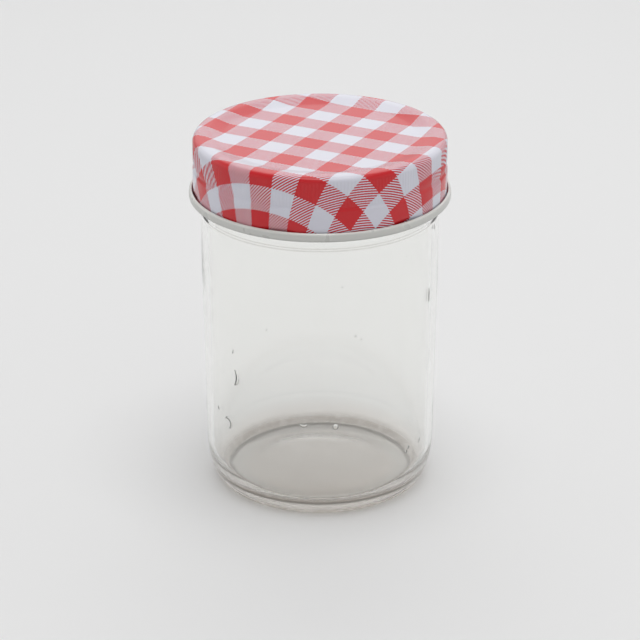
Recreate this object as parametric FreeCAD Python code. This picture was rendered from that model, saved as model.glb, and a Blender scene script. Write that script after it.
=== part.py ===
"""Glass storage jar with a deep twist-off cap, empty and closed.

Millimetres, +Z up. The origin is the centre of the ring that the jar stands
on. Three pieces: the blown glass jar, the drawn steel cap, and the ring of
soft sealing compound that is flowed into the cap and pressed onto the rim.
The cap is turned home: its lugs sit under the glass threads.
"""
import FreeCAD, Part
import math
import os

V = FreeCAD.Vector
AXIS = V(0, 0, 1)
ORIGIN = V(0, 0, 0)

# ---- glass jar -------------------------------------------------------------
JAR_HEIGHT = 120.5          # standing ring to sealing rim
BODY_RADIUS = 39.2          # straight upper body
BODY_TAPER = 0.8            # the body is this much narrower above the heel
TAPER_TOP = 75.0            # height where that gentle taper ends
WALL = 2.4                  # side wall
HEEL_HEIGHT = 16.7          # height of the rounded heel outside
HEEL_REACH = 6.0            # how far the heel draws in to the standing ring
STANDING_WIDTH = 6.2        # flat width of the standing ring
PUSH_UP = 1.7               # hollow under the middle of the base
FLOOR = 1.9                 # glass under the middle of the floor
FLOOR_CROWN = 0.4           # rise of the floor from its edge to the middle
INNER_HEEL_RISE = 11.5      # height of the rounded heel inside
INNER_HEEL_REACH = 7.0      # how far it draws in to the floor

# ---- neck finish -----------------------------------------------------------
FINISH_HEIGHT = 24.2        # parting line of the neck ring down from the rim
FINISH_STEP = 0.25          # how far the finish stands in from the body
FINISH_BEVEL = 0.5          # height of that step
RIM_ROUND = 0.9             # rounding of the rim, inside and outside
THREAD_COUNT = 6
THREAD_REACH = 1.5          # how far a thread stands out of the finish
THREAD_ROOT_HEIGHT = 2.6
THREAD_CREST_HEIGHT = 1.2
THREAD_SWEEP = 46.0         # degrees that one thread covers
THREAD_RISE = 3.4           # climb of one thread from end to end
THREAD_SINK = 0.5           # depth of the thread's root inside the glass

# ---- twist-off cap ---------------------------------------------------------
SHEET = 0.25                # tinplate with its lacquer
CAP_PLAY = 0.8              # slit between thread crests and skirt
CAP_HEIGHT = 21.0           # top ring to the bottom of the curl
CAP_CORNER = 2.0            # outside rounding of the top edge
CHANNEL_INSET = 0.2         # inner edge of the raised ring out from the bore
PANEL_SLOPE = 5.0           # width of the slope between ring and panel
PANEL_DROP = 1.1            # the panel lies this far under the ring
PANEL_BEND = 5.0            # bend radius at both edges of that slope
GROOVE_DROP = 10.2          # groove round the skirt, below the top ring
GROOVE_DEPTH = 0.4
GROOVE_FADE = 1.9           # height over which the wall leans into the groove
GROOVE_RETURN = 0.9         # height over which it steps out again
GROOVE_BEND = 0.7
BAND_FLARE = 0.15           # the band under the groove is this much wider
CURL_OVERHANG = 1.35        # curl beyond the band
CURL_HEIGHT = 2.9
CURL_BEND = 0.5             # inside bend radius of the curl
CURL_GAP = 0.15             # slit between the raw edge and the band
LUG_SWEEP = 15.0            # degrees of the curl pressed in for one lug
LUG_GRIP = 1.05             # radial overlap of lug and thread
LUG_HEIGHT = 1.7
LUG_ROUND = 0.45
LUG_AT = 11.0               # degrees from a thread's low end to the lug
LUG_PLAY = 0.1              # slit between lug and thread
LUG_BITE = 0.12             # depth of the lug's root in the skirt's sheet

# ---- sealing compound ------------------------------------------------------
COMPOUND = 0.95             # between rim and cap
SEAL_OVERLAP = 0.5          # compound beyond the rim, inside and outside

# ---- sizes that follow -----------------------------------------------------
RIM_Z = JAR_HEIGHT
FINISH_Z = RIM_Z - FINISH_HEIGHT
FINISH_RADIUS = BODY_RADIUS - FINISH_STEP
BORE_RADIUS = BODY_RADIUS - WALL
RIM_BEND = min(RIM_ROUND, 0.45 * (FINISH_RADIUS - BORE_RADIUS))
HEEL_RADIUS = BODY_RADIUS - BODY_TAPER
STANDING_RADIUS = HEEL_RADIUS - HEEL_REACH
FLOOR_RADIUS = HEEL_RADIUS - WALL - INNER_HEEL_REACH
FLOOR_Z = PUSH_UP + FLOOR
CAP_TOP_Z = RIM_Z + COMPOUND + SHEET
CURL_Z = CAP_TOP_Z - CAP_HEIGHT
THREAD_RADIUS = FINISH_RADIUS + THREAD_REACH
CAP_RADIUS = THREAD_RADIUS + CAP_PLAY + SHEET
CHANNEL_RADIUS = BORE_RADIUS + CHANNEL_INSET
PANEL_RADIUS = CHANNEL_RADIUS - PANEL_SLOPE
BAND_RADIUS = CAP_RADIUS + BAND_FLARE
CURL_RADIUS = BAND_RADIUS + CURL_OVERHANG
LUG_RADIUS = THREAD_RADIUS - LUG_GRIP
LUG_Z = CURL_Z + (CURL_HEIGHT - LUG_HEIGHT) / 2
THREAD_PITCH = THREAD_RISE * 360 / THREAD_SWEEP
THREAD_TURN = 360 / THREAD_COUNT


def at(radius, z):
    """A point of a turned profile."""
    return V(radius, 0, z)


def line(start, end):
    return Part.LineSegment(start, end).toShape()


def quarter_ellipse(side, foot):
    """Arc from a wall point (side) to a floor point (foot) that leaves the
    wall upright and reaches the floor level."""
    centre = at(foot.x, side.z)
    wide = side.x - foot.x
    tall = side.z - foot.z
    if tall > wide:
        ellipse = Part.Ellipse(foot, side, centre)
        return Part.ArcOfEllipse(ellipse, 0, math.pi / 2).toShape()
    ellipse = Part.Ellipse(side, foot, centre)
    return Part.ArcOfEllipse(ellipse, 0, math.pi / 2).toShape()


def bow(start, end, rise):
    """Arc through both ends, bowed upwards so that it lies level at the
    axis: start is on the axis, rise is its height above the end."""
    if abs(rise) < 1e-6:
        return line(start, end)
    radius = (end.x ** 2 + rise ** 2) / (2 * rise)
    half = math.asin(end.x / radius) / 2
    middle = at(radius * math.sin(half), start.z - radius * (1 - math.cos(half)))
    return Part.Arc(start, middle, end).toShape()


def rounded_path(corners):
    """Edges through corners of (point, bend radius), each bend an arc."""
    edges = []
    last = corners[0][0]
    for index in range(1, len(corners) - 1):
        corner, bend = corners[index]
        back = (corners[index - 1][0] - corner).normalize()
        ahead = (corners[index + 1][0] - corner).normalize()
        half = back.getAngle(ahead) / 2
        reach = bend / math.tan(half)
        begin = corner + back * reach
        finish = corner + ahead * reach
        middle = corner + (back + ahead).normalize() * (bend / math.sin(half) - bend)
        if (begin - last).Length > 1e-6:
            edges.append(line(last, begin))
        edges.append(Part.Arc(begin, middle, finish).toShape())
        last = finish
    edges.append(line(last, corners[-1][0]))
    return edges


def beside(corners, distance):
    """The same path moved sideways, so that a sheet keeps its thickness
    round every bend."""
    moved = []
    for index, (corner, bend) in enumerate(corners):
        before = corners[max(index - 1, 0)][0]
        after = corners[min(index + 1, len(corners) - 1)][0]
        come = (corner - before).normalize() if index else (after - corner).normalize()
        go = (after - corner).normalize() if index < len(corners) - 1 else come
        normals = V(come.z, 0, -come.x), V(go.z, 0, -go.x)
        shift = (normals[0] + normals[1]) * (distance / (1 + normals[0].dot(normals[1])))
        turn = come.x * go.z - come.z * go.x
        new_bend = bend + (distance if turn > 0 else -distance)
        moved.append((corner + shift, new_bend))
    return moved


def section(edges):
    """Flat face inside a closed outline."""
    return Part.Face(Part.Wire(Part.__sortEdges__(edges)))


def turned(face, degrees=360):
    """Solid from a half section turned about the axis."""
    return face.revolve(ORIGIN, AXIS, degrees)


def one_solid(shape):
    """The single solid of a shape, or a plain message."""
    if len(shape.Solids) != 1 or not shape.isValid():
        raise ValueError("expected one valid solid, got %d" % len(shape.Solids))
    return shape.Solids[0]


def glass_blank():
    """The jar without its threads: outside from the standing ring up, over
    the rim, and down the inside to the floor."""
    ring_in = at(STANDING_RADIUS - STANDING_WIDTH, 0)
    ring_out = at(STANDING_RADIUS, 0)
    heel_top = at(HEEL_RADIUS, HEEL_HEIGHT)
    taper_top = at(BODY_RADIUS, TAPER_TOP)
    step_low = at(BODY_RADIUS, FINISH_Z)
    step_high = at(FINISH_RADIUS, FINISH_Z + FINISH_BEVEL)
    rim_out = at(FINISH_RADIUS, RIM_Z)
    rim_in = at(BORE_RADIUS, RIM_Z)
    inner_taper = at(BORE_RADIUS, TAPER_TOP)
    floor_edge = at(FLOOR_RADIUS, FLOOR_Z - FLOOR_CROWN)
    inner_heel = at(HEEL_RADIUS - WALL, floor_edge.z + INNER_HEEL_RISE)
    floor_middle = at(0, FLOOR_Z)
    hollow_middle = at(0, PUSH_UP)

    edges = [line(ring_in, ring_out), quarter_ellipse(heel_top, ring_out)]
    edges += [line(heel_top, taper_top), line(taper_top, step_low)]
    neck = [(step_high, 0), (rim_out, RIM_BEND), (rim_in, RIM_BEND), (inner_taper, 0)]
    edges += [line(step_low, step_high)] + rounded_path(neck)
    edges += [line(inner_taper, inner_heel), quarter_ellipse(inner_heel, floor_edge)]
    edges += [bow(floor_middle, floor_edge, FLOOR_CROWN)]
    edges += [line(floor_middle, hollow_middle), bow(hollow_middle, ring_in, PUSH_UP)]
    return one_solid(turned(section(edges)))


def thread():
    """One right-hand thread that climbs from angle 0. Its low face clears
    the top of the seated lug at the lug's leading end."""
    lug_start = LUG_AT - LUG_SWEEP / 2
    low = LUG_Z + LUG_HEIGHT + LUG_PLAY - THREAD_RISE * lug_start / THREAD_SWEEP
    slope = (THREAD_ROOT_HEIGHT - THREAD_CREST_HEIGHT) / 2
    sunk = FINISH_RADIUS - THREAD_SINK
    outline = Part.makePolygon([
        at(sunk, low),
        at(THREAD_RADIUS - slope, low),
        at(THREAD_RADIUS, low + slope),
        at(THREAD_RADIUS, low + slope + THREAD_CREST_HEIGHT),
        at(sunk, low + THREAD_ROOT_HEIGHT),
        at(sunk, low),
    ])
    spine = Part.makeHelix(THREAD_PITCH, THREAD_RISE, FINISH_RADIUS)
    spine.translate(V(0, 0, low))
    swept = Part.Wire(spine).makePipeShell([outline], True, True)
    return swept if swept.Volume > 0 else swept.reversed()


def glass_jar():
    first = thread()
    jar = glass_blank()
    for count in range(THREAD_COUNT):
        copy = first.copy()
        copy.rotate(ORIGIN, AXIS, count * THREAD_TURN)
        jar = jar.fuse(copy)
    return one_solid(jar)


def cap_outline():
    """Printed face of the cap's sheet, from the middle of the panel to the
    raw edge inside the curl, as corners with their bend radii."""
    panel_z = CAP_TOP_Z - PANEL_DROP
    groove_z = CAP_TOP_Z - GROOVE_DROP
    curl_low = CURL_Z + SHEET
    curl_high = CURL_Z + CURL_HEIGHT - SHEET
    curl_far = CURL_RADIUS - SHEET
    return [
        (at(0, panel_z), 0),
        (at(PANEL_RADIUS, panel_z), PANEL_BEND),
        (at(CHANNEL_RADIUS, CAP_TOP_Z), PANEL_BEND),
        (at(CAP_RADIUS, CAP_TOP_Z), CAP_CORNER),
        (at(CAP_RADIUS, groove_z + GROOVE_FADE), GROOVE_BEND),
        (at(CAP_RADIUS - GROOVE_DEPTH, groove_z), GROOVE_BEND),
        (at(BAND_RADIUS, groove_z - GROOVE_RETURN), GROOVE_BEND),
        (at(BAND_RADIUS, curl_low), CURL_BEND),
        (at(curl_far, curl_low), CURL_BEND),
        (at(curl_far, curl_high), CURL_BEND),
        (at(BAND_RADIUS + SHEET + CURL_GAP, curl_high), 0),
    ]


def lug():
    """A stretch of the curl pressed inwards, seated under a thread."""
    root = BAND_RADIUS - LUG_BITE
    corners = [
        (at(root, LUG_Z), 0),
        (at(LUG_RADIUS, LUG_Z), LUG_ROUND),
        (at(LUG_RADIUS, LUG_Z + LUG_HEIGHT), LUG_ROUND),
        (at(root, LUG_Z + LUG_HEIGHT), 0),
    ]
    edges = rounded_path(corners) + [line(corners[-1][0], corners[0][0])]
    solid = turned(section(edges), LUG_SWEEP)
    solid.rotate(ORIGIN, AXIS, LUG_AT - LUG_SWEEP / 2)
    return solid


def cap_section():
    """Half section of the drawn sheet, without lugs."""
    printed = cap_outline()
    bare = beside(printed, SHEET)
    edges = rounded_path(printed) + rounded_path(bare)
    edges += [line(printed[0][0], bare[0][0]), line(printed[-1][0], bare[-1][0])]
    return section(edges)


def lid():
    first = lug()
    cap = turned(cap_section())
    for count in range(THREAD_COUNT):
        copy = first.copy()
        copy.rotate(ORIGIN, AXIS, count * THREAD_TURN)
        cap = cap.fuse(copy)
    return one_solid(cap)


def lid_seal():
    """Compound between the rim and the cap's underside. A square-cut ring is
    trimmed by the cap's own section, so its top follows the sheet."""
    inside = BORE_RADIUS - SEAL_OVERLAP
    outside = FINISH_RADIUS + SEAL_OVERLAP
    corners = [at(inside, RIM_Z), at(outside, RIM_Z), at(outside, CAP_TOP_Z), at(inside, CAP_TOP_Z)]
    square = section([line(corners[index - 1], corners[index]) for index in range(4)])
    pieces = square.cut(cap_section()).Faces
    under_cap = min(pieces, key=lambda face: face.CenterOfMass.z)
    return one_solid(turned(under_cap))


def main():
    os.makedirs("parts", exist_ok=True)
    for name, shape in (("glass_jar", glass_jar()), ("lid", lid()), ("lid_seal", lid_seal())):
        shape.exportStep("parts/%s.step" % name)
        print("%s %.1f mm3" % (name, shape.Volume))


main()
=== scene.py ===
import math

import bmesh
import bpy
import numpy as np
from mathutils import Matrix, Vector


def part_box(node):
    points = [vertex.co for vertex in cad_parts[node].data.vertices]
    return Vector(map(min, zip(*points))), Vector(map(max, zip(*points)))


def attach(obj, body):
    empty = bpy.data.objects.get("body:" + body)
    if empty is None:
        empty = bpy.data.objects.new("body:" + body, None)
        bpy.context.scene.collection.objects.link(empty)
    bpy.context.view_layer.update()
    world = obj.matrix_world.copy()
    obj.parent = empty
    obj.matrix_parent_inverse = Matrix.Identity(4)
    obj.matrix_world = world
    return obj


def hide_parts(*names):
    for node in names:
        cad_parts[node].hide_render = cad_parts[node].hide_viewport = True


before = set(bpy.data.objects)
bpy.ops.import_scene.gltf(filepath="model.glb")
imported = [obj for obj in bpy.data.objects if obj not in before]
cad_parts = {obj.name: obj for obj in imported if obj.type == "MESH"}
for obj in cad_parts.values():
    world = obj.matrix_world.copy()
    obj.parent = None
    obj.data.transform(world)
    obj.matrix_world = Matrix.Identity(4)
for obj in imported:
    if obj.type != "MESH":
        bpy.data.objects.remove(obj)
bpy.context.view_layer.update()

bl_info = {
    "name": "Storage jar with a checked cap",
    "version": (1, 0, 0),
    "blender": (4, 5, 0),
    "location": "3D View > Sidebar > Jar",
    "description": "Dresses an empty glass storage jar and its twist-off cap",
    "category": "Object",
}

MM = 0.001
BODY = "root"
JAR_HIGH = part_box("glass_jar")[1]
CAP_LOW, CAP_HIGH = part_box("lid")


# ---- sizes and looks that a user would change --------------------------------

def length(name, description, default):
    return bpy.props.FloatProperty(
        name=name, description=description, default=default, unit="LENGTH", precision=5
    )


def factor(name, description, default):
    return bpy.props.FloatProperty(
        name=name, description=description, default=default, min=0.0, max=1.0, subtype="FACTOR"
    )


def colour(name, description, default):
    return bpy.props.FloatVectorProperty(
        name=name, description=description, default=default, size=3, min=0.0, max=1.0, subtype="COLOR"
    )


def angle(name, description, degrees):
    return bpy.props.FloatProperty(
        name=name, description=description, default=math.radians(degrees), subtype="ANGLE"
    )


def whole_number(name, description, default, least):
    return bpy.props.IntProperty(name=name, description=description, default=default, min=least)


class GlassSizes(bpy.types.PropertyGroup):
    body_radius: length("Body radius", "Outside of the straight upper body", 39.2 * MM)
    body_taper: length("Body taper", "How much narrower the body is above the heel", 0.8 * MM)
    taper_top: length("Taper top", "Height where the gentle taper ends", 75 * MM)
    wall: length("Wall", "Thickness of the side wall", 2.4 * MM)
    heel_height: length("Heel height", "Height of the rounded heel outside", 16.7 * MM)
    heel_reach: length("Heel reach", "How far the heel draws in to the standing ring", 6 * MM)
    standing_width: length("Standing width", "Width of the ring that the jar stands on", 6.2 * MM)
    push_up: length("Push-up", "Hollow under the middle of the base", 1.7 * MM)
    floor: length("Floor", "Glass under the middle of the floor", 1.9 * MM)
    floor_crown: length("Floor crown", "Rise of the floor from its edge to the middle", 0.4 * MM)
    inner_rise: length("Inner heel rise", "Height of the rounded heel inside", 11.5 * MM)
    inner_reach: length("Inner heel reach", "How far it draws in to the floor", 7 * MM)
    finish_height: length("Finish height", "Neck ring's parting line down from the rim", 24.2 * MM)
    finish_step: length("Finish step", "How far the finish stands in from the body", 0.25 * MM)
    seam: length("Seam", "Height of the fine seam where two moulds met", 0.07 * MM)
    rim_round: length("Rim rounding", "Rounding of the rim, inside and outside", 0.9 * MM)
    thread_reach: length("Thread reach", "How far a thread stands out", 1.5 * MM)
    thread_height: length("Thread height", "Height of a thread at its root", 2.6 * MM)
    thread_rise: length("Thread rise", "Climb of one thread from end to end", 3.4 * MM)
    thread_lift: length("Thread lift", "Cap's edge up to a thread's low end, less its height", 1.6 * MM)
    thread_sweep: angle("Thread sweep", "How far one thread runs round the neck", 46)
    waviness: length("Waviness", "Unevenness of the blown inner surface", 0.06 * MM)


class CapSizes(bpy.types.PropertyGroup):
    sheet: length("Sheet", "Thickness of the tinplate", 0.25 * MM)
    corner: length("Corner", "Rounding of the top edge", 2 * MM)
    ring_inner: length("Ring inner edge", "Inner edge of the raised top ring", 37 * MM)
    slope: length("Slope", "Width of the slope between ring and panel", 5 * MM)
    panel_drop: length("Panel drop", "The panel lies this far under the ring", 1.1 * MM)
    panel_bend: length("Panel bend", "Bend radius at both edges of the slope", 5 * MM)
    groove_drop: length("Groove drop", "Groove round the skirt, below the ring", 10.2 * MM)
    groove_depth: length("Groove depth", "Depth of that groove", 0.4 * MM)
    groove_fade: length("Groove fade", "Height over which the wall leans in", 1.9 * MM)
    groove_return: length("Groove return", "Height over which it steps out again", 0.9 * MM)
    groove_bend: length("Groove bend", "Bend radius in the groove", 0.7 * MM)
    band_flare: length("Band flare", "The band under the groove is this much wider", 0.15 * MM)
    curl_overhang: length("Curl overhang", "Curl beyond the band", 1.35 * MM)
    curl_height: length("Curl height", "Height of the rolled edge", 2.9 * MM)
    curl_bend: length("Curl bend", "Inside bend radius of the curl", 0.5 * MM)
    curl_shoulder: length("Curl shoulder", "Bend radius half way up the curl", 1.2 * MM)
    curl_lean: length("Curl lean", "How far the curl's top leans in", 0.25 * MM)
    curl_gap: length("Curl gap", "Slit between raw edge and band", 0.15 * MM)
    knurl_depth: length("Knurl depth", "Depth of the fine upright grip ridges", 0.17 * MM)
    lug_grip: length("Lug reach", "How far a lug stands in from the curl", 2.1 * MM)
    lug_sweep: angle("Lug width", "Angle of the curl that one lug takes", 15)
    lug_start: angle("First lug", "Direction of the first lug's middle", 11)
    lug_count: whole_number("Lugs", "Number of lugs and of glass threads", 6, 2)
    knurl_count: whole_number("Ridges", "Number of grip ridges round the cap", 228, 24)


class GlassLook(bpy.types.PropertyGroup):
    clear: colour("Clear", "The glass itself", (0.985, 0.988, 0.975))
    tinge: colour("Film", "Faint film low on the glass", (0.965, 0.925, 0.89))
    # The sole's colour and the ring on it are painted shade: they darken the floor seen through the
    # base.
    sole: colour("Sole", "Underside of the jar", (0.88, 0.84, 0.815))
    sole_ring_shade: colour("Sole ring", "Ring round the push-up", (0.80, 0.80, 0.79))
    # The scuffs' dark colour is painted shade, at the resting edge and along the parting line; their
    # dulling is wear.
    scuff_shade: colour("Scuffs", "Scuffed resting edge and parting line", (0.50, 0.455, 0.41))
    side_light: colour("Side light", "Lamp light that passes the thin side", (0.972, 0.968, 0.96))
    heel_light: colour("Heel light", "Lamp light that passes the thick heel", (0.64, 0.62, 0.59))
    polish: factor("Polish", "Most roughness of the clean glass", 0.02)
    sole_dullness: factor("Sole dullness", "Roughness that the sole adds", 0.32)
    scuff_dullness: factor("Scuff dullness", "Roughness that scuffs add", 0.15)


class PrintLook(bpy.types.PropertyGroup):
    check: length("Check period", "One light and one red stripe together", 16.845 * MM)
    turn: angle("Check angle", "Direction of the stripes on the flat sheet", -27.26)
    stripe_share: factor("Stripe share", "Light stripe's share of the period", 0.5)
    shift_a: factor("Shift across", "Place of the first stripes, in periods", 0.5176)
    shift_b: factor("Shift along", "Place of the second stripes, in periods", 0.0889)
    hatch: length("Hatch pitch", "Distance between the fine lines of a half-tone check", 0.82 * MM)
    hatch_turn: angle("Hatch angle", "Direction across the fine lines, from the check's", 135)
    hatch_cover: factor("Hatch cover", "Share of a half-tone check that is red", 0.57)
    white: colour("White", "White base coat", (0.68, 0.685, 0.765))
    red: colour("Red", "Solid red ink", (0.60, 0.006, 0.012))
    line_red: colour("Line red", "Red ink in the fine lines", (0.54, 0.003, 0.016))
    handled: colour("Handled print", "Faint tint where the print has been handled", (0.5, 0.28, 0.28))
    tin: colour("Tin", "Coated tinplate of the curl and the inside", (0.60, 0.60, 0.57))
    bare_steel: colour("Bare steel", "Specks where the coat is worn", (0.16, 0.13, 0.11))
    compound: colour("Compound", "Sealing compound", (0.72, 0.70, 0.66))
    compound_shade: colour("Compound shade", "Its darker patches", (0.62, 0.60, 0.56))


class StageLook(bpy.types.PropertyGroup):
    floor: colour("Floor", "Pale paper floor", (0.83, 0.83, 0.83))
    lens: bpy.props.FloatProperty(
        name="Lens", description="Focal length on a 36 mm sensor", default=149.9, unit="CAMERA"
    )
    distance: length("Camera distance", "Camera in front of the jar's axis", 816.8 * MM)
    height: length("Camera height", "Camera above the floor", 415.7 * MM)
    pitch: angle("Camera pitch", "How far the camera looks down", 23.8)


# ---- profiles ----------------------------------------------------------------

# Turn from one point of a bend to the next.
BEND_STEP = math.radians(11)


def bend_points(before, corner, after, radius, steps):
    """Points of the arc that rounds a corner of an outline."""
    before, corner, after = (np.array(point, float) for point in (before, corner, after))
    back = (before - corner) / np.linalg.norm(before - corner)
    ahead = (after - corner) / np.linalg.norm(after - corner)
    half = math.acos(float(np.clip(back @ ahead, -1, 1))) / 2
    reach = radius / math.tan(half)
    middle = (back + ahead) / np.linalg.norm(back + ahead)
    centre = corner + middle * radius / math.sin(half)
    start = corner + back * reach - centre
    end = corner + ahead * reach - centre
    first = math.atan2(start[1], start[0])
    swing = math.atan2(end[1], end[0]) - first
    swing = (swing + math.pi) % (2 * math.pi) - math.pi
    angles = first + swing * np.linspace(0, 1, steps + 1)
    return [tuple(centre + radius * np.array((math.cos(a), math.sin(a)))) for a in angles]


def rounded(corners):
    """Outline through (point, bend radius) corners, each bend an arc."""
    points = [corners[0][0]]
    for (before, _), (corner, radius), (after, _) in zip(corners, corners[1:], corners[2:]):
        if radius <= 0:
            points.append(corner)
            continue
        come = np.subtract(corner, before)
        go = np.subtract(after, corner)
        turn = abs(math.atan2(come[0] * go[1] - come[1] * go[0], float(come @ go)))
        steps = max(2, round(turn / BEND_STEP))
        points += bend_points(before, corner, after, radius, steps)
    points.append(corners[-1][0])
    return points


def beside(corners, distance):
    """The same outline moved sideways by the sheet's thickness."""
    moved = []
    for index, (corner, radius) in enumerate(corners):
        corner = np.array(corner, float)
        before = np.array(corners[max(index - 1, 0)][0], float)
        after = np.array(corners[min(index + 1, len(corners) - 1)][0], float)
        come = corner - before if index else after - corner
        go = after - corner if index < len(corners) - 1 else come
        come, go = come / np.linalg.norm(come), go / np.linalg.norm(go)
        sides = np.array((come[1], -come[0])), np.array((go[1], -go[0]))
        shift = (sides[0] + sides[1]) * distance / (1 + sides[0] @ sides[1])
        turn = come[0] * go[1] - come[1] * go[0]
        moved.append((tuple(corner + shift), radius + (distance if turn > 0 else -distance)))
    return moved


def spaced(points, step):
    """The outline with its long straight runs divided."""
    out = [points[0]]
    for start, end in zip(points, points[1:]):
        start, end = np.array(start, float), np.array(end, float)
        count = max(1, math.ceil(np.linalg.norm(end - start) / step))
        out += [tuple(start + (end - start) * (k + 1) / count) for k in range(count)]
    return out


def ellipse_points(side, foot, steps):
    """Quarter ellipse from a floor point (foot) up to a wall point (side)."""
    angles = np.linspace(0, math.pi / 2, steps + 1)
    return [
        (foot[0] + (side[0] - foot[0]) * math.sin(a), side[1] - (side[1] - foot[1]) * math.cos(a))
        for a in angles
    ]


# ---- meshes ------------------------------------------------------------------

# Shares of a swell's width: where it has half its height or more, and what
# each of its flanks takes.
SWELL_SPAN, SWELL_FADE = 0.7, 0.5
# Least and most of a random wave: radians along each metre of height, and size.
WAVE_RATES = (20, 160)
WAVE_SIZES = (0.4, 1)


def linked(name, data):
    """A new object in the scene."""
    piece = bpy.data.objects.new(name, data)
    bpy.context.collection.objects.link(piece)
    return piece


def smooth_piece(name, points, faces):
    mesh = bpy.data.meshes.new(name)
    mesh.from_pydata(points, [], faces)
    mesh.polygons.foreach_set("use_smooth", [True] * len(mesh.polygons))
    return linked(name, mesh)


def ring_mesh(name, rows):
    """Surface of revolution from rows of points (each an array n x 3). A row
    of one point is a pole, and neighbouring rows may differ by a whole
    factor in their number of points."""
    points = np.concatenate(rows)
    starts = np.cumsum([0] + [len(row) for row in rows])
    faces = []
    for index in range(len(rows) - 1):
        n, m = len(rows[index]), len(rows[index + 1])
        a, b = starts[index], starts[index + 1]
        if n == 1 or m == 1:
            count = max(n, m)
            for k in range(count):
                after = (k + 1) % count
                faces.append((a, b + k, b + after) if n == 1 else (b, a + after, a + k))
            continue
        fine, coarse = max(n, m), min(n, m)
        ratio = fine // coarse
        for k in range(coarse):
            after = (k + 1) % coarse
            many = [(k * ratio + j) % fine for j in range(ratio + 1)]
            if n <= m:
                faces.append((a + after, a + k, *(b + j for j in many)))
            else:
                faces.append((b + k, b + after, *(a + j for j in reversed(many))))
    piece = smooth_piece(name, points.tolist(), faces)
    piece.data.validate()
    return piece


def circle(sides):
    return np.arange(sides) * 2 * math.pi / sides


def pole(z):
    """Row of one point on the axis."""
    return np.array([[0, 0, z]])


def turned_row(radius, z, angles):
    """One row of a turned surface. radius and z may be numbers or arrays."""
    radius = np.broadcast_to(radius, angles.shape)
    z = np.broadcast_to(z, angles.shape)
    return np.stack([radius * np.cos(angles), radius * np.sin(angles), z], axis=1)


def ridge(distance, width, soft):
    """1 inside a band of this width, falling smoothly to 0 over soft."""
    t = np.clip((width / 2 + soft / 2 - np.abs(distance)) / soft, 0, 1)
    return t * t * (3 - 2 * t)


def swell(distance, width):
    """The rounded cross-section of a thread or a lug."""
    return ridge(distance, width * SWELL_SPAN, width * SWELL_FADE)


def waves(rng, number, most_turns):
    """Random smooth waves over angle and height. Each has its whole turns
    round the jar, its rate along the height, its phase and its size."""
    parts = []
    for _ in range(number):
        turns = rng.integers(1, most_turns + 1)
        rate = rng.uniform(*WAVE_RATES)
        phase = rng.uniform(0, 2 * math.pi)
        parts.append((turns, rate, phase, rng.uniform(*WAVE_SIZES)))
    return parts


def wave_height(parts, angles, z):
    total = 0
    for turns, rate, phase, size in parts:
        total = total + size * np.cos(turns * angles + z * rate + phase)
    return total / math.sqrt(len(parts))


# ---- materials ---------------------------------------------------------------

# Sockets of a Mix node that blends colours.
MIX_SHARE, MIX_FIRST, MIX_SECOND, MIX_RESULT = 0, 6, 7, 2
# Share of a cell's width from its middle to the edge of its speck.
SPECK_REACH = 0.22

# Where each finish of the glass is full and where it is gone, by height or by
# distance from the jar's axis.
TINGE_HEIGHT = (4.2 * MM, 10.2 * MM)
SOLE_HEIGHT = (2.1 * MM, 2.6 * MM)
EDGE_HEIGHT = (1.82 * MM, 4.42 * MM)
EDGE_RADIUS = (32.3 * MM, 30.8 * MM)
HEEL_HEIGHT = (14 * MM, 24 * MM)
# The darker ring on the sole, painted shade: its middle circle, and how far from it the ring is full and
# gone. The same for the mark of the parting line, which stays half clear; its dark colour is painted
# shade too.
RING_RADIUS = 28 * MM
RING_REACH = (1.2 * MM, 5.2 * MM)
PARTING_REACH = (0.108 * MM, 0.288 * MM)
PARTING_MOST = 0.5
# How level a face lies (1 is flat) where it bends lamp light aside in full and
# not at all. The most lets a level face do so higher up the heel.
HEEL_LEVEL = (0.8, 2 / 15)
HEEL_MOST = 1.3

# Grey levels of the coated tin, at shares of this height above the cap's edge: painted shade, dark at
# the curl's lower edge, and a painted highlight, light from its upper edge up.
CURL_TONE_SPAN = 4 * MM
CURL_SHADE_AND_HIGHLIGHT_TONES = ((0.0, 0.36), (0.13, 0.42), (0.22, 0.58), (0.52, 0.62), (0.66, 0.84), (0.8, 0.84))
CURL_TINT = (1, 1, 0.965)


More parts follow.
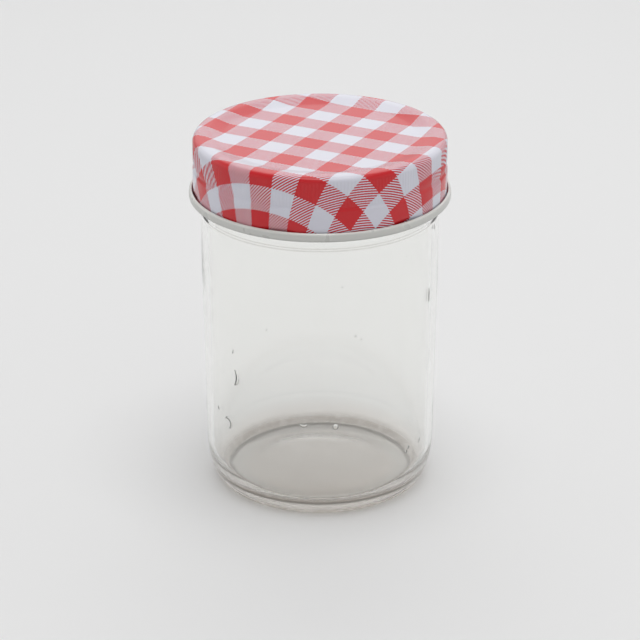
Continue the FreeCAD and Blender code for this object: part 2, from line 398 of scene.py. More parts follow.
class Graph:
    """A node tree, with short ways to add nodes and to join them."""

    def __init__(self, tree):
        self.tree = tree
        self.nodes = tree.nodes

    def link(self, output, socket):
        self.tree.links.new(output, socket)

    def feed(self, socket, value):
        """Gives a socket a number, a colour or another node's output."""
        if isinstance(value, bpy.types.NodeSocket):
            self.link(value, socket)
        elif socket.type == "RGBA":
            socket.default_value = (*value, 1.0)
        else:
            socket.default_value = value

    def maths(self, operation, *values):
        """Result of a Math node whose inputs are numbers or outputs."""
        node = self.nodes.new("ShaderNodeMath")
        node.operation = operation
        for socket, value in zip(node.inputs, values):
            self.feed(socket, value)
        return node.outputs[0]

    def fade(self, value, full, gone, most=1.0):
        """1 where the value is at full or past it, 0 where it is at gone or
        past that, a straight slope between them, and never above most."""
        slope = 1 / (full - gone)
        share = self.maths("MULTIPLY_ADD", value, slope, -gone * slope)
        return self.maths("MINIMUM", self.maths("MAXIMUM", share, 0.0), most)

    def drift(self, cloud, low, high):
        """A value that wanders between two numbers as the cloud does."""
        return self.maths("MULTIPLY_ADD", cloud, high - low, low)

    def apart(self, value, middle):
        """How far a value is from the middle one."""
        return self.maths("ABSOLUTE", self.maths("SUBTRACT", value, middle))

    def blend(self, share, first, second):
        """Mix of two colours or outputs."""
        node = self.nodes.new("ShaderNodeMix")
        node.data_type = "RGBA"
        self.feed(node.inputs[MIX_SHARE], share)
        self.feed(node.inputs[MIX_FIRST], first)
        self.feed(node.inputs[MIX_SECOND], second)
        return node.outputs[MIX_RESULT]

    def greys(self, value, tones, tint=(1, 1, 1)):
        """A colour ramp through (place, grey level) tones."""
        node = self.nodes.new("ShaderNodeValToRGB")
        elements = node.color_ramp.elements
        while len(elements) < len(tones):
            elements.new(0.5)
        for element, (place, level) in zip(elements, tones):
            element.position = place
            element.color = (*(level * part for part in tint), 1)
        self.link(value, node.inputs[0])
        return node

    def split(self, vector):
        """X, Y and Z of a vector."""
        node = self.nodes.new("ShaderNodeSeparateXYZ")
        self.link(vector, node.inputs[0])
        return node.outputs

    def from_axis(self, place):
        """Distance of a place from the upright axis."""
        flat = self.nodes.new("ShaderNodeCombineXYZ")
        for axis in "XY":
            self.link(place[axis], flat.inputs[axis])
        node = self.nodes.new("ShaderNodeVectorMath")
        node.operation = "LENGTH"
        self.link(flat.outputs[0], node.inputs[0])
        return node.outputs["Value"]

    def place(self):
        """Place on the piece, in its own frame."""
        return self.nodes.new("ShaderNodeTexCoord").outputs["Object"]


def new_material(name):
    material = bpy.data.materials.new(name)
    material.use_nodes = True
    graph = Graph(material.node_tree)
    return material, graph, graph.nodes["Principled BSDF"]


def handling_group():
    """Effect shared by every finish: fine specks and slow variation."""
    name = "handling_marks"
    if name in bpy.data.node_groups:
        return bpy.data.node_groups[name]
    group = bpy.data.node_groups.new(name, "ShaderNodeTree")
    group.interface.new_socket("Vector", in_out="INPUT", socket_type="NodeSocketVector")
    for label, default in (("Speck size", 900.0), ("Speck share", 0.3), ("Cloud size", 60.0)):
        socket = group.interface.new_socket(label, in_out="INPUT", socket_type="NodeSocketFloat")
        socket.default_value = default
    for label in ("Specks", "Cloud"):
        group.interface.new_socket(label, in_out="OUTPUT", socket_type="NodeSocketFloat")
    graph = Graph(group)
    come = graph.nodes.new("NodeGroupInput").outputs
    go = graph.nodes.new("NodeGroupOutput").inputs
    cells = graph.nodes.new("ShaderNodeTexVoronoi")
    graph.link(come["Vector"], cells.inputs["Vector"])
    graph.link(come["Speck size"], cells.inputs["Scale"])
    near = graph.maths("LESS_THAN", cells.outputs["Distance"], SPECK_REACH)
    chosen = graph.maths("LESS_THAN", cells.outputs["Color"], come["Speck share"])
    graph.link(graph.maths("MULTIPLY", near, chosen), go["Specks"])
    noise = graph.nodes.new("ShaderNodeTexNoise")
    graph.link(come["Vector"], noise.inputs["Vector"])
    graph.link(come["Cloud size"], noise.inputs["Scale"])
    graph.link(noise.outputs["Fac"], go["Cloud"])
    return group


def handling(graph, where, **values):
    """The shared marks, placed in a material with its own values."""
    node = graph.nodes.new("ShaderNodeGroup")
    node.node_tree = handling_group()
    graph.link(where, node.inputs["Vector"])
    for label, value in values.items():
        node.inputs[label.replace("_", " ").capitalize()].default_value = value
    return node.outputs


def worn_and_shaded_edge(graph, height, radius, streaks):
    """Streaky scuffs on the edge that the jar rests on, which dull the glass there and darken it as
    painted shade.
    """
    resting = graph.maths("MULTIPLY", graph.fade(height, *EDGE_HEIGHT), graph.fade(radius, *EDGE_RADIUS))
    streaky = graph.maths("MINIMUM", graph.drift(streaks["Cloud"], 0.1, 1.7), 1.0)
    return graph.maths("MULTIPLY", resting, streaky)


def passed_light(graph, look, height):
    """Lamp light that passes the glass: less where its faces lie level low
    in the heel, because the thick glass there bends it aside."""
    normal = graph.split(graph.nodes.new("ShaderNodeNewGeometry").outputs["Normal"])
    level = graph.fade(graph.maths("ABSOLUTE", normal["Z"]), *HEEL_LEVEL, HEEL_MOST)
    aside = graph.maths("MULTIPLY", level, graph.fade(height, *HEEL_HEIGHT))
    aside = graph.maths("MINIMUM", aside, 1.0)
    through = graph.nodes.new("ShaderNodeBsdfTransparent")
    graph.feed(through.inputs["Color"], graph.blend(aside, look.side_light, look.heel_light))
    return through.outputs[0]


def clear_glass(look, parting_z):
    """Soda-lime glass with a faint warm tinge low down, a dulled sole, and scuffs on the resting edge
    and the parting line. The sole, a ring on it and the scuffs are also darkened: painted shade. Rays
    from lamps pass it as they pass thin glass."""
    material, graph, shader = new_material("clear_soda_lime_glass")
    shader.inputs["Transmission Weight"].default_value = 1.0
    shader.inputs["Metallic"].default_value = 0.0
    shader.inputs["IOR"].default_value = 1.52
    where = graph.place()
    marks = handling(graph, where, speck_size=260.0, speck_share=0.05, cloud_size=34.0)
    streaks = handling(graph, where, speck_size=900.0, speck_share=0.2, cloud_size=330.0)
    place = graph.split(where)
    height = place["Z"]
    radius = graph.from_axis(place)

    # A faint warm tinge low on the glass, uneven in strength.
    patchy = graph.drift(marks["Cloud"], 0.4, 1.2)
    tinged = graph.maths("MULTIPLY", graph.fade(height, *TINGE_HEIGHT), patchy)
    under = graph.fade(height, *SOLE_HEIGHT)
    ringed = graph.fade(graph.apart(radius, RING_RADIUS), *RING_REACH)
    # Dark line along the parting line: painted shade, with some dulling.
    parting_scuff_and_shade = graph.fade(graph.apart(height, parting_z), *PARTING_REACH, PARTING_MOST)
    scuffed_and_shaded = graph.maths("MAXIMUM", worn_and_shaded_edge(graph, height, radius, streaks), parting_scuff_and_shade)

    side = graph.blend(tinged, look.clear, look.tinge)
    # Painted shade under the base: the sole and its ring darken the floor seen through them.
    sole = graph.blend(ringed, look.sole, look.sole_ring_shade)
    unworn = graph.blend(under, side, sole)
    graph.feed(shader.inputs["Base Color"], graph.blend(scuffed_and_shaded, unworn, look.scuff_shade))
    rough = graph.drift(marks["Cloud"], 0.0, look.polish)
    rough = graph.maths("MULTIPLY_ADD", under, look.sole_dullness, rough)
    rough = graph.maths("MULTIPLY_ADD", scuffed_and_shaded, look.scuff_dullness, rough)
    graph.feed(shader.inputs["Roughness"], rough)

    path = graph.nodes.new("ShaderNodeLightPath")
    mix = graph.nodes.new("ShaderNodeMixShader")
    graph.link(path.outputs["Is Shadow Ray"], mix.inputs["Fac"])
    graph.link(shader.outputs[0], mix.inputs[1])
    graph.link(passed_light(graph, look, height), mix.inputs[2])
    graph.link(mix.outputs[0], graph.nodes["Material Output"].inputs["Surface"])
    return material


def stripe(graph, along, period, shift, width):
    """1 on a stripe of this width (share of the period), else 0."""
    turns = graph.maths("MULTIPLY_ADD", along, 1 / period, 0.5 - shift)
    share = graph.maths("FRACT", turns)
    return graph.maths("LESS_THAN", graph.apart(share, 0.5), width / 2)


def direction(graph, flat, turn):
    """Distance along a direction of the flat sheet."""
    node = graph.nodes.new("ShaderNodeVectorMath")
    node.operation = "DOT_PRODUCT"
    graph.link(flat, node.inputs[0])
    node.inputs[1].default_value = (math.cos(turn), math.sin(turn), 0)
    return node.outputs["Value"]


def printed_tin(look):
    """Two-way check printed on the flat sheet before drawing: white where
    two light stripes cross, solid red where none runs, fine lines between."""
    material, graph, shader = new_material("check_printed_tinplate")
    sheet = graph.nodes.new("ShaderNodeUVMap")
    sheet.uv_map = FLAT_SHEET
    flat = sheet.outputs["UV"]
    across = direction(graph, flat, look.turn)
    along = direction(graph, flat, look.turn + math.pi / 2)
    hatched = direction(graph, flat, look.turn + look.hatch_turn)
    first = stripe(graph, across, look.check, look.shift_a, look.stripe_share)
    second = stripe(graph, along, look.check, look.shift_b, look.stripe_share)
    line = stripe(graph, hatched, look.hatch, 0.0, look.hatch_cover)

    half_tone = graph.blend(line, look.white, look.line_red)
    inked = graph.blend(graph.maths("MAXIMUM", first, second), look.red, half_tone)
    printed = graph.blend(graph.maths("MULTIPLY", first, second), inked, look.white)
    marks = handling(graph, graph.place(), speck_size=420.0, speck_share=0.02, cloud_size=45.0)
    faded = graph.drift(marks["Cloud"], 0.0, 0.05)
    graph.feed(shader.inputs["Base Color"], graph.blend(faded, printed, look.handled))
    graph.feed(shader.inputs["Roughness"], graph.drift(marks["Cloud"], 0.17, 0.27))
    shader.inputs["IOR"].default_value = 1.53
    shader.inputs["Specular IOR Level"].default_value = 0.4
    shader.inputs["Metallic"].default_value = 0.0
    return material


def coated_tin(look):
    """Pale coated tinplate of the curl, the lugs and the cap's inside, with painted shade darkening it
    towards the curl's lower edge, a painted highlight lightening it from the curl's upper edge up, and
    small specks where the coat is worn."""
    material, graph, shader = new_material("pale_coated_tinplate")
    where = graph.place()
    marks = handling(graph, where, speck_size=380.0, speck_share=0.045, cloud_size=120.0)
    height = graph.split(where)["Z"]
    # Painted shade low on the curl and a painted highlight along its upper edge, set by height.
    rise = graph.maths("MULTIPLY_ADD", height, 1 / CURL_TONE_SPAN, -CAP_LOW.z / CURL_TONE_SPAN)
    painted_shading = graph.greys(rise, CURL_SHADE_AND_HIGHLIGHT_TONES, CURL_TINT).outputs["Color"]
    coat = graph.blend(marks["Cloud"], painted_shading, look.tin)
    graph.feed(shader.inputs["Base Color"], graph.blend(marks["Specks"], coat, look.bare_steel))
    graph.feed(shader.inputs["Roughness"], graph.drift(marks["Cloud"], 0.2, 0.4))
    shader.inputs["Metallic"].default_value = 0.1
    return material


def seal_compound(look):
    """Soft pale compound, a little uneven in tone."""
    material, graph, shader = new_material("sealing_compound")
    marks = handling(graph, graph.place(), speck_size=700.0, speck_share=0.1, cloud_size=200.0)
    tone = graph.blend(marks["Cloud"], look.compound, look.compound_shade)
    graph.feed(shader.inputs["Base Color"], tone)
    graph.feed(shader.inputs["Roughness"], graph.drift(marks["Cloud"], 0.45, 0.65))
    return material


def pale_paper(look):
    material, graph, shader = new_material("pale_paper")
    graph.feed(shader.inputs["Base Color"], look.floor)
    shader.inputs["Roughness"].default_value = 0.9
    shader.inputs["Specular IOR Level"].default_value = 0.1
    return material


# ---- the blown jar -----------------------------------------------------------

# Points round the jar, steps round each heel, and the longest steps up the
# side, down the inside and from one row of the threads to the next.
JAR_SIDES = 360
HEEL_STEPS = 26
SIDE_STEP = 4 * MM
INSIDE_STEP = 3 * MM
THREAD_STEP = 0.45 * MM
# The push-up keeps its curve out to this share of the standing ring's inner
# edge, then eases down to a line of contact this far across the ring.
PUSH_UP_SHARE = 0.8
CONTACT_SHARE = 0.6
# Shares of their reach at which the rows of the push-up, of that ease and of
# the floor inside start and end, and how many rows there are.
PUSH_UP_ROWS = (0.1, PUSH_UP_SHARE, 8)
EASE_ROWS = (0.85, 0.0, 8)
FLOOR_ROWS = (0.92, 0.1, 9)
# Thread rows start this far above the parting line and end this far below the
# rim. The lip's outline starts a little higher.
THREADS_FROM = 3 * MM
THREADS_END = 1.2 * MM
LIP = 1.1 * MM
# A thread has half its height or more over the first share of its length, and
# fades over the second at each end.
THREAD_SPAN, THREAD_FADE = 0.9, 0.1
# The blown inside: seed and number of its waves, the most that one wave turns
# round the jar, and how far below the rim they are full.
WAVE_SEED, WAVE_COUNT, WAVE_TURNS = 7, 9, 5
WAVE_GROWTH = 20 * MM


class JarPlaces:
    """Radii and heights that follow from the jar's sizes."""

    def __init__(self, size):
        self.rim_z = JAR_HIGH.z
        self.parting_z = self.rim_z - size.finish_height
        self.heel = size.body_radius - size.body_taper
        self.standing = self.heel - size.heel_reach
        self.ring_inner = self.standing - size.standing_width
        self.finish = size.body_radius - size.finish_step
        self.bore = size.body_radius - size.wall
        self.floor_z = size.push_up + size.floor
        self.floor_edge = (self.heel - size.wall - size.inner_reach, self.floor_z - size.floor_crown)
        self.inner_heel = (self.heel - size.wall, self.floor_edge[1] + size.inner_rise)


def underside_points(size, at):
    """From near the middle of the push-up to the line of contact and across
    the standing ring."""
    points = [
        (at.ring_inner * share, size.push_up * (1 - share ** 2))
        for share in np.linspace(*PUSH_UP_ROWS)
    ]
    contact = at.ring_inner + size.standing_width * CONTACT_SHARE
    leave, leave_z = at.ring_inner * PUSH_UP_SHARE, size.push_up * (1 - PUSH_UP_SHARE ** 2)
    points += [
        (contact + (leave - contact) * share, leave_z * share ** 2)
        for share in np.linspace(*EASE_ROWS)
    ]
    return points + [(at.standing, 0.0)]


def side_points(size, at):
    """The rounded heel and the side up to below the parting line."""
    foot, heel_top = (at.standing, 0.0), (at.heel, size.heel_height)
    side = [heel_top, (size.body_radius, size.taper_top), (size.body_radius, at.parting_z)]
    return ellipse_points(heel_top, foot, HEEL_STEPS)[1:] + spaced(side, SIDE_STEP)[1:-1]


def seam_points(size, at):
    """The fine seam at the parting line, and the gentle step in above it."""
    body, proud = size.body_radius, size.body_radius + size.seam
    below = [(body, -1.2 * MM), (body, -0.5 * MM)]
    crest = [(proud, -0.15 * MM), (proud, 0.0), (body, 0.3 * MM)]
    above = [(at.finish, 2.3 * MM), (at.finish, 2.6 * MM)]
    return [(radius, at.parting_z + rise) for radius, rise in below + crest + above]


def thread_rows(size, at, angles, lugs):
    """The neck with one climbing thread for each lug of the cap."""
    first_thread = CAP_LOW.z + size.thread_lift + size.thread_height
    place = (angles % (2 * math.pi / lugs)) / size.thread_sweep
    climb = first_thread + place * size.thread_rise
    lasts = ridge(place - 0.5, THREAD_SPAN, THREAD_FADE)
    rows = []
    for z in np.arange(at.parting_z + THREADS_FROM, at.rim_z - THREADS_END, THREAD_STEP):
        thread = swell(z - climb, size.thread_height) * lasts
        rows.append(turned_row(at.finish + size.thread_reach * thread, z, angles))
    return rows


def lip_points(size, at):
    """Over the rounded rim, from the finish to the bore."""
    return rounded([
        ((at.finish, at.rim_z - LIP), 0),
        ((at.finish, at.rim_z), size.rim_round),
        ((at.bore, at.rim_z), size.rim_round),
        ((at.bore, at.rim_z - LIP), 0),
    ])


def inside_rows(size, at, angles):
    """The slightly uneven inside, down the bore and the inner heel, and in
    over the crowned floor."""
    uneven = waves(np.random.default_rng(WAVE_SEED), WAVE_COUNT, WAVE_TURNS)
    down = spaced([(at.bore, at.rim_z - LIP), (at.bore, size.taper_top), at.inner_heel], INSIDE_STEP)
    rows = []
    for radius, z in down[1:] + ellipse_points(at.inner_heel, at.floor_edge, HEEL_STEPS)[::-1][1:]:
        fade = min(1.0, (at.rim_z - z) / WAVE_GROWTH)
        wave = wave_height(uneven, angles, z) * size.waviness * fade
        rows.append(turned_row(radius + wave, z, angles))
    edge, edge_z = at.floor_edge
    for share in np.linspace(*FLOOR_ROWS):
        wave = wave_height(uneven, angles, share) * size.waviness * share
        z = edge_z + size.floor_crown * (1 - share ** 2)
        rows.append(turned_row(edge * share, z + wave, angles))
    return rows


def jar_rows(size, lugs):
    """Rows of the glass from the middle of the floor, up the inside, over the
    rim, and down the outside to the middle of the push-up."""
    at = JarPlaces(size)
    angles = circle(JAR_SIDES)
    rows = [pole(size.push_up)]
    for radius, z in underside_points(size, at) + side_points(size, at) + seam_points(size, at):
        rows.append(turned_row(radius, z, angles))
    rows += thread_rows(size, at, angles, lugs)
    rows += [turned_row(radius, z, angles) for radius, z in lip_points(size, at)]
    rows += inside_rows(size, at, angles)
    rows.append(pole(at.floor_z))
    return rows[::-1]


# ---- flaws in the glass ------------------------------------------------------

# Thin curved bubbles: azimuth and height of the arc's middle, its radius, the
# directions (degrees, 0 to the right as seen from outside) where it starts and
# ends, and its greatest width. Lengths are in millimetres.
CURVED_BUBBLES = (
    (225.3, 46.5, 3.6, -52, 48, 1.5),
    (336.2, 71.3, 6.5, 203, 160, 1.6),
    (219.6, 29.6, 1.8, 140, -70, 1.2),
    (261.9, 34.4, 1.3, 205, 335, 1.1),
    (329.3, 20.3, 1.3, 100, 190, 1.0),
    (222.8, 55.8, 1.2, -60, 40, 0.6),
    (343.0, 93.6, 1.8, 200, 150, 1.2),
)
# Round bubbles: azimuth, height and diameter.
ROUND_BUBBLES = (
    (209.0, 31.9, 1.2),
    (277.6, 34.2, 1.9),
    (318.3, 19.0, 1.0),
    (319.8, 20.2, 1.1),
    (287.2, 66.0, 0.65),
    (290.2, 64.6, 0.5),
    (200.8, 61.0, 0.5),
    (78.0, 52.0, 0.6),
    (121.0, 38.0, 0.8),
    (35.0, 70.0, 0.5),
)
BUBBLE_SIDES = 10
BUBBLE_STEPS = 18
BUBBLE_FLATNESS = 0.27
# A bubble's rings stop this share of its length short of each tip, so that
# none shrinks to a point.
CURVED_TIP = 0.03
ROUND_TIP = 0.04
# Below 1, the arc stays wide for longer before it tapers to its tips.
CURVED_TAPER = 0.7
ROUND_STRETCH = 1.15


def on_wall(azimuth, height, across, upward, depth, middle):
    """Point of the wall near a place on it: across and upward along its
    face, depth out from the middle of its thickness."""
    turn = math.radians(azimuth) + across / middle
    radius = middle + depth
    return (radius * math.cos(turn), radius * math.sin(turn), height + upward)


def bubble_rings(azimuth, height, path, widths, middle):
    """Closed tube along a path on the wall, flattened towards the wall."""
    rings = []
    for index, (point, width) in enumerate(zip(path, widths)):
        before, after = path[max(index - 1, 0)], path[min(index + 1, len(path) - 1)]
        along = np.subtract(after, before)
        along = along / (np.linalg.norm(along) or 1)
        normal = np.array((-along[1], along[0]))
        ring = []
        for side in circle(BUBBLE_SIDES):
            off = normal * math.cos(side) * width / 2
            depth = math.sin(side) * width / 2 * BUBBLE_FLATNESS
            ring.append(on_wall(azimuth, height, point[0] + off[0], point[1] + off[1], depth, middle))
        rings.append(ring)
    return rings


def short_of(tip, steps):
    """The steps from 0 to 1, drawn in by the tip at both ends."""
    return tip + (1 - 2 * tip) * steps


def curved_bubble(radius, start, end, width, steps):
    """Path and widths of a thin arc whose middle lies at its place."""
    turns = np.radians(start + (end - start) * steps)
    half = math.radians((start + end) / 2)
    shift = np.array((math.cos(half), math.sin(half))) * radius
    path = [(np.array((math.cos(t), math.sin(t))) * radius - shift) * MM for t in turns]
    return path, np.sin(math.pi * short_of(CURVED_TIP, steps)) ** CURVED_TAPER * width * MM


def round_bubble(size, steps):
    """Path and widths of a small drop, a little taller than wide."""
    lean = 0.5 - 0.5 * np.cos(math.pi * short_of(ROUND_TIP, steps))
    path = [(0.0, (share - 0.5) * size * MM * ROUND_STRETCH) for share in lean]
    return path, np.sqrt(np.clip(1 - (2 * lean - 1) ** 2, 0, 1)) * size * MM


def tube_faces(base, rings):
    """Sides and both ends of a tube whose points start at base."""
    faces = []
    for row in range(rings - 1):
        a = base + row * BUBBLE_SIDES
        b = a + BUBBLE_SIDES
        for k in range(BUBBLE_SIDES):
            after = (k + 1) % BUBBLE_SIDES
            faces.append((a + k, a + after, b + after, b + k))
    last = base + (rings - 1) * BUBBLE_SIDES
    faces.append(tuple(base + k for k in reversed(range(BUBBLE_SIDES))))
    faces.append(tuple(last + k for k in range(BUBBLE_SIDES)))
    return faces


def bubble_mesh(name, middle):
    """All bubbles as one mesh whose faces look inward, as air in glass."""
    steps = np.linspace(0, 1, BUBBLE_STEPS + 1)
    shapes = []
    for azimuth, height, *arc in CURVED_BUBBLES:
        path, widths = curved_bubble(*arc, steps)
        shapes.append(bubble_rings(azimuth, height * MM, path, widths, middle))
    for azimuth, height, size in ROUND_BUBBLES:
        path, widths = round_bubble(size, steps)
        shapes.append(bubble_rings(azimuth, height * MM, path, widths, middle))
    points, faces = [], []
    for rings in shapes:
        faces += tube_faces(len(points), len(rings))
        for ring in rings:
            points += ring
    piece = smooth_piece(name, points, faces)
    face_inward(piece.data)
    return piece


def face_inward(mesh):
    """Turns the faces of closed shapes inward, so that glass counts the
    space inside them as air."""
    shape = bmesh.new()
    shape.from_mesh(mesh)
    bmesh.ops.recalc_face_normals(shape, faces=shape.faces)
    bmesh.ops.reverse_faces(shape, faces=shape.faces)
    shape.to_mesh(mesh)
    shape.free()


# ---- the drawn cap -----------------------------------------------------------

# Texture map that keeps each point's place on the sheet before drawing.
FLAT_SHEET = "flat_sheet"
# The cap's second material, after the printed one.
COATED_SLOT = 1
# Longest steps along the printed face and along the inner one.
PRINTED_STEP = 1.6 * MM
BARE_STEP = 4 * MM
# Points round one grip ridge. The knurl runs from the groove to this share of
# the top corner's rounding below the top, and fades in over these heights.
KNURL_POINTS = 4
KNURL_TOP_SHARE = 0.55
KNURL_FADE_TOP = 1.2 * MM
KNURL_FADE_LOW = 1.5 * MM
# Rows that lie further than this outside the top ring's inner edge, and this
# far above the groove, carry the ridges.
KNURL_CLEAR_TOP = 0.1 * MM
KNURL_CLEAR_LOW = 0.2 * MM
# A lug has half its reach or more over the first share of the curl's height,
# and fades over the second above and below. Only the curl's inner side is
# pushed in, from this far outside the band, and in full this much further in.
LUG_SPAN, LUG_FADE = 0.62, 0.4
LUG_OUTSIDE = 0.3 * MM
LUG_BLEND = 0.4 * MM


def cap_corners(size):
    """Printed face of the sheet, from the panel's middle to the raw edge."""
    top = CAP_HIGH.z
    low = CAP_LOW.z
    curl_far = CAP_HIGH.x - size.sheet
    curl_top = low + size.curl_height - size.sheet
    band = CAP_HIGH.x - size.curl_overhang
    wall = band - size.band_flare
    groove_z = top - size.groove_drop
    panel_z = top - size.panel_drop
    return [
        ((0, panel_z), 0),
        ((size.ring_inner - size.slope, panel_z), size.panel_bend),
        ((size.ring_inner, top), size.panel_bend),
        ((wall, top), size.corner),
        ((wall, groove_z + size.groove_fade), size.groove_bend),
        ((wall - size.groove_depth, groove_z), size.groove_bend),
        ((band, groove_z - size.groove_return), size.groove_bend),
        ((band, low + size.sheet), size.curl_bend),
        ((curl_far, low + size.sheet), size.curl_bend),
        ((curl_far, low + size.curl_height / 2), size.curl_shoulder),
        ((curl_far - size.curl_lean, curl_top), size.curl_bend),
        ((band + size.sheet + size.curl_gap, curl_top), 0),
    ]


def knurl_fade(size, z):
    """1 where the grip ridges are full, 0 above and below them."""
    low = CAP_HIGH.z - size.groove_drop
    high = CAP_HIGH.z - size.corner * KNURL_TOP_SHARE
    return np.clip((high - z) / KNURL_FADE_TOP, 0, 1) * np.clip((z - low) / KNURL_FADE_LOW, 0, 1)


def printed_rows(size, outline):
    """The printed face, with the grip ridges pressed into its wall."""
    coarse = circle(size.knurl_count)
    fine = circle(size.knurl_count * KNURL_POINTS)
    ridges = 0.5 - 0.5 * np.cos(fine * size.knurl_count)
    knurl_low = CAP_HIGH.z - size.groove_drop + KNURL_CLEAR_LOW
    rows = [pole(outline[0][1])]
    for radius, z in outline[1:]:
        if radius >= size.ring_inner + KNURL_CLEAR_TOP and z > knurl_low:
            depth = size.knurl_depth * knurl_fade(size, z) * ridges
            rows.append(turned_row(radius - depth, z, fine))
        else:
            rows.append(turned_row(radius, z, coarse))
    return rows


def bare_rows(size, outline):
    """The inner face, from the raw edge back to the panel's middle."""
    coarse = circle(size.knurl_count)
    rows = [turned_row(radius, z, coarse) for radius, z in reversed(outline[1:])]
    return rows + [pole(outline[0][1])]


def run_lengths(outline):
    """Distance along an outline from its start to each of its points."""
    steps = np.hypot(*np.diff(np.array(outline, float), axis=0).T)
    return [0.0, *np.cumsum(steps)]


def press_lugs(size, rows):
    """Presses the lugs into the inner side of the curl."""
    lug_step = 2 * math.pi / size.lug_count
    inner_curl = CAP_HIGH.x - size.curl_overhang + LUG_OUTSIDE
    for row in rows:
        if len(row) == 1:
            continue
        radius = np.hypot(row[:, 0], row[:, 1])
        angles = np.arctan2(row[:, 1], row[:, 0])
        middle = row[:, 2] - CAP_LOW.z - size.curl_height / 2
        in_curl = ridge(middle, size.curl_height * LUG_SPAN, size.curl_height * LUG_FADE)
        inside = np.clip((inner_curl - radius) / LUG_BLEND, 0, 1)
        off = (angles - size.lug_start + lug_step / 2) % lug_step - lug_step / 2
        pressed = radius - size.lug_grip * in_curl * inside * swell(off, size.lug_sweep)
        row[:, :2] *= (pressed / radius)[:, None]


def build_cap(size):
    """Rows of the drawn sheet, each row's distance along the flat sheet from
    its middle, and the number of rows on the printed face."""
    corners = cap_corners(size)
    outline = spaced(rounded(corners), PRINTED_STEP)
    inner = spaced(rounded(beside(corners, size.sheet)), BARE_STEP)
    printed, bare = printed_rows(size, outline), bare_rows(size, inner)
    rows = printed + bare
    press_lugs(size, rows)
    lengths = run_lengths(outline)
    lengths += [lengths[-1]] * (len(bare) - 1) + [0.0]
    return rows, lengths, len(printed)


def write_flat_sheet(piece, rows, lengths):
    """Texture map that holds each point's place on the sheet as it was
    printed flat: its distance along the sheet from the middle, and its
    direction."""
    place = []
    for row, run in zip(rows, lengths):
        angles = np.arctan2(row[:, 1], row[:, 0])
        place.append(np.stack([run * np.cos(angles), run * np.sin(angles)], axis=1))
    place = np.concatenate(place)
    layer = piece.data.uv_layers.new(name=FLAT_SHEET)
    corner_vertices = np.empty(len(piece.data.loops), np.int32)
    piece.data.loops.foreach_get("vertex_index", corner_vertices)
    layer.data.foreach_set("uv", place[corner_vertices].ravel())


# ---- stage -------------------------------------------------------------------

# The paper sweep: half its width, where it starts in front and ends behind,
# the radius of its bend, the height of its wall, and the angles round the bend.
SWEEP_HALF, SWEEP_NEAR, SWEEP_FAR = 2.2, -1.6, 1.3
SWEEP_BEND, SWEEP_TOP = 0.35, 0.36
SWEEP_TURNS = np.linspace(0.1, math.pi / 2, 12)
# Soft lamps: name, place, aim, width, depth and watts.
LAMPS = (
    ("overhead_softbox", (0.08, -0.12, 1.4), (0, 0, 0), 0.7, 0.7, 5.2),
    ("front_softbox", (0.3, -0.8, 1.3), (0, 0, 0), 0.9, 0.9, 1.4),
    ("back_softbox", (0.0, 1.0, 1.2), (0, 0.9, 0), 1.0, 0.8, 3.4),
)
# Brightness of the surroundings from level (0) to straight up (1), and what it
# is multiplied by: a level that rises from the front to the back.
AIR_TONES = ((0.0, 0.85), (0.52, 1.0), (0.68, 0.4), (0.85, 0.35), (0.95, 0.55))
AIR_LEVEL = 0.96
AIR_BACK_RISE = 0.48
SENSOR_WIDTH = 36.0


def paper_sweep(look):
    """A sweep of paper: flat floor that curves up into a wall."""
    start = SWEEP_FAR - SWEEP_BEND
    outline = [(SWEEP_NEAR, 0.0), (start, 0.0)]
    outline += [
        (start + SWEEP_BEND * math.sin(a), SWEEP_BEND - SWEEP_BEND * math.cos(a))
        for a in SWEEP_TURNS
    ]
    outline.append((SWEEP_FAR, SWEEP_TOP))
    points = [(x, y, z) for y, z in outline for x in (-SWEEP_HALF, SWEEP_HALF)]
    faces = [(2 * k, 2 * k + 1, 2 * k + 3, 2 * k + 2) for k in range(len(outline) - 1)]
    sweep = smooth_piece("paper_sweep", points, faces)
    sweep.data.materials.append(pale_paper(look))


def soft_lamp(name, place, aim, width, depth, watts):
    data = bpy.data.lights.new(name, "AREA")
    data.shape = "RECTANGLE"
    data.size, data.size_y = width, depth
    data.energy = watts
    piece = linked(name, data)
    piece.location = place
    piece.rotation_euler = (Vector(aim) - Vector(place)).to_track_quat("-Z", "Y").to_euler()


def studio_air(scene):
    """Even pale surroundings, brighter towards the back than in front."""
    world = bpy.data.worlds.new("studio_air")
    world.use_nodes = True
    graph = Graph(world.node_tree)
    toward = graph.split(graph.nodes.new("ShaderNodeTexCoord").outputs["Generated"])
    tones = graph.greys(toward["Z"], AIR_TONES)
    tones.color_ramp.interpolation = "EASE"
    level = graph.maths("MULTIPLY_ADD", toward["Y"], AIR_BACK_RISE, AIR_LEVEL)
    air = graph.nodes["Background"].inputs
    graph.link(tones.outputs["Color"], air["Color"])
    graph.link(level, air["Strength"])
    scene.world = world


def deep_paths(tracing):
    """Lets a ray pass the many glass faces of a closed jar before it stops."""
    tracing.max_bounces = 32
    tracing.transmission_bounces = 32
    tracing.glossy_bounces = 12
    tracing.transparent_max_bounces = 32


def camera(scene, look):
    data = bpy.data.cameras.new("camera")
    data.sensor_width = SENSOR_WIDTH
    data.lens = look.lens
    piece = linked("camera", data)
    piece.location = (0.0, -look.distance, look.height)
    piece.rotation_euler = (math.pi / 2 - look.pitch, 0.0, 0.0)
    scene.camera = piece


# ---- operators ---------------------------------------------------------------

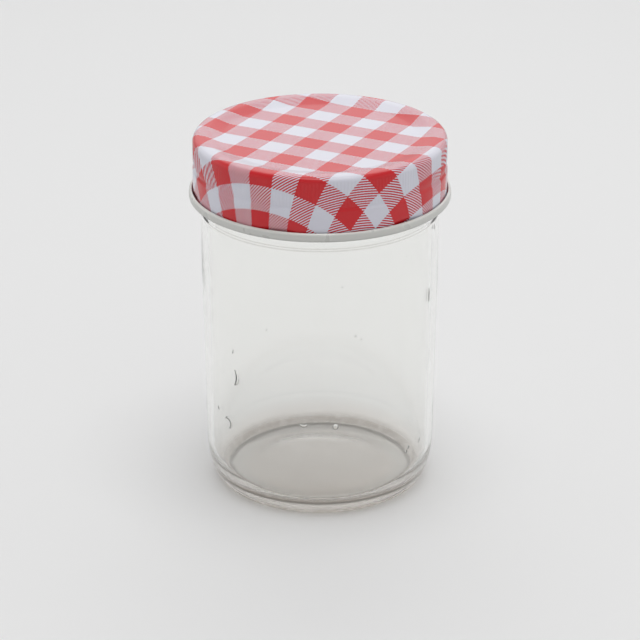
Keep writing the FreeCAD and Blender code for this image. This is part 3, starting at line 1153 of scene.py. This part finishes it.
class JAR_OT_glass(bpy.types.Operator):
    """Makes the blown glass jar with its threads and uneven inside"""
    bl_idname = "jar.glass"
    bl_label = "Glass jar"

    def execute(self, context):
        size, look = context.scene.jar_glass, context.scene.jar_finish
        piece = ring_mesh("blown_jar", jar_rows(size, context.scene.jar_cap.lug_count))
        piece.data.materials.append(clear_glass(look, JarPlaces(size).parting_z))
        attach(piece, BODY)
        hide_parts("glass_jar")
        return {"FINISHED"}


class JAR_OT_bubbles(bpy.types.Operator):
    """Sets small air bubbles into the wall of the glass"""
    bl_idname = "jar.bubbles"
    bl_label = "Bubbles"

    def execute(self, context):
        size = context.scene.jar_glass
        piece = bubble_mesh("air_bubbles", size.body_radius - size.wall / 2)
        piece.data.materials.append(bpy.data.materials["clear_soda_lime_glass"])
        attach(piece, BODY)
        return {"FINISHED"}


class JAR_OT_cap(bpy.types.Operator):
    """Makes the drawn cap with its knurl, groove, curl, lugs and print"""
    bl_idname = "jar.cap"
    bl_label = "Twist-off cap"

    def execute(self, context):
        size, look = context.scene.jar_cap, context.scene.jar_print
        rows, lengths, printed = build_cap(size)
        piece = ring_mesh("drawn_cap", rows)
        write_flat_sheet(piece, rows, lengths)
        piece.data.materials.append(printed_tin(look))
        piece.data.materials.append(coated_tin(look))
        printed_points = sum(len(row) for row in rows[:printed])
        for face in piece.data.polygons:
            if max(face.vertices) >= printed_points:
                face.material_index = COATED_SLOT
        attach(piece, BODY)
        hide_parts("lid")
        return {"FINISHED"}


class JAR_OT_seal(bpy.types.Operator):
    """Gives the sealing ring its soft compound finish"""
    bl_idname = "jar.seal"
    bl_label = "Sealing ring"

    def execute(self, context):
        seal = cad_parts["lid_seal"]
        compound = seal_compound(context.scene.jar_print)
        for place in seal.material_slots:
            place.material = compound
        return {"FINISHED"}


class JAR_OT_stage(bpy.types.Operator):
    """Sets the pale floor, the soft lamps and the camera"""
    bl_idname = "jar.stage"
    bl_label = "Stage"

    def execute(self, context):
        scene = context.scene
        paper_sweep(scene.jar_stage)
        for lamp in LAMPS:
            soft_lamp(*lamp)
        studio_air(scene)
        camera(scene, scene.jar_stage)
        scene.view_settings.view_transform = "Standard"
        deep_paths(scene.cycles)
        return {"FINISHED"}


class JAR_PT_panel(bpy.types.Panel):
    """Lists the jar's sizes, looks and steps"""
    bl_idname = "JAR_PT_panel"
    bl_label = "Storage jar"
    bl_space_type = "VIEW_3D"
    bl_region_type = "UI"
    bl_category = "Jar"

    def draw(self, context):
        for operator in OPERATORS:
            self.layout.operator(operator.bl_idname)
        for name, group in GROUPS.items():
            box = self.layout.box()
            for prop in group.__annotations__:
                box.prop(getattr(context.scene, name), prop)


GROUPS = {
    "jar_glass": GlassSizes,
    "jar_finish": GlassLook,
    "jar_cap": CapSizes,
    "jar_print": PrintLook,
    "jar_stage": StageLook,
}
OPERATORS = (JAR_OT_glass, JAR_OT_bubbles, JAR_OT_cap, JAR_OT_seal, JAR_OT_stage)


def register():
    for name, group in GROUPS.items():
        bpy.utils.register_class(group)
        setattr(bpy.types.Scene, name, bpy.props.PointerProperty(type=group))
    for operator in OPERATORS:
        bpy.utils.register_class(operator)
    bpy.utils.register_class(JAR_PT_panel)


def unregister():
    bpy.utils.unregister_class(JAR_PT_panel)
    for operator in reversed(OPERATORS):
        bpy.utils.unregister_class(operator)
    for name, group in reversed(GROUPS.items()):
        delattr(bpy.types.Scene, name)
        bpy.utils.unregister_class(group)


def main():
    register()
    bpy.ops.jar.glass()
    bpy.ops.jar.bubbles()
    bpy.ops.jar.cap()
    bpy.ops.jar.seal()
    bpy.ops.jar.stage()


if __name__ == "__main__":
    main()
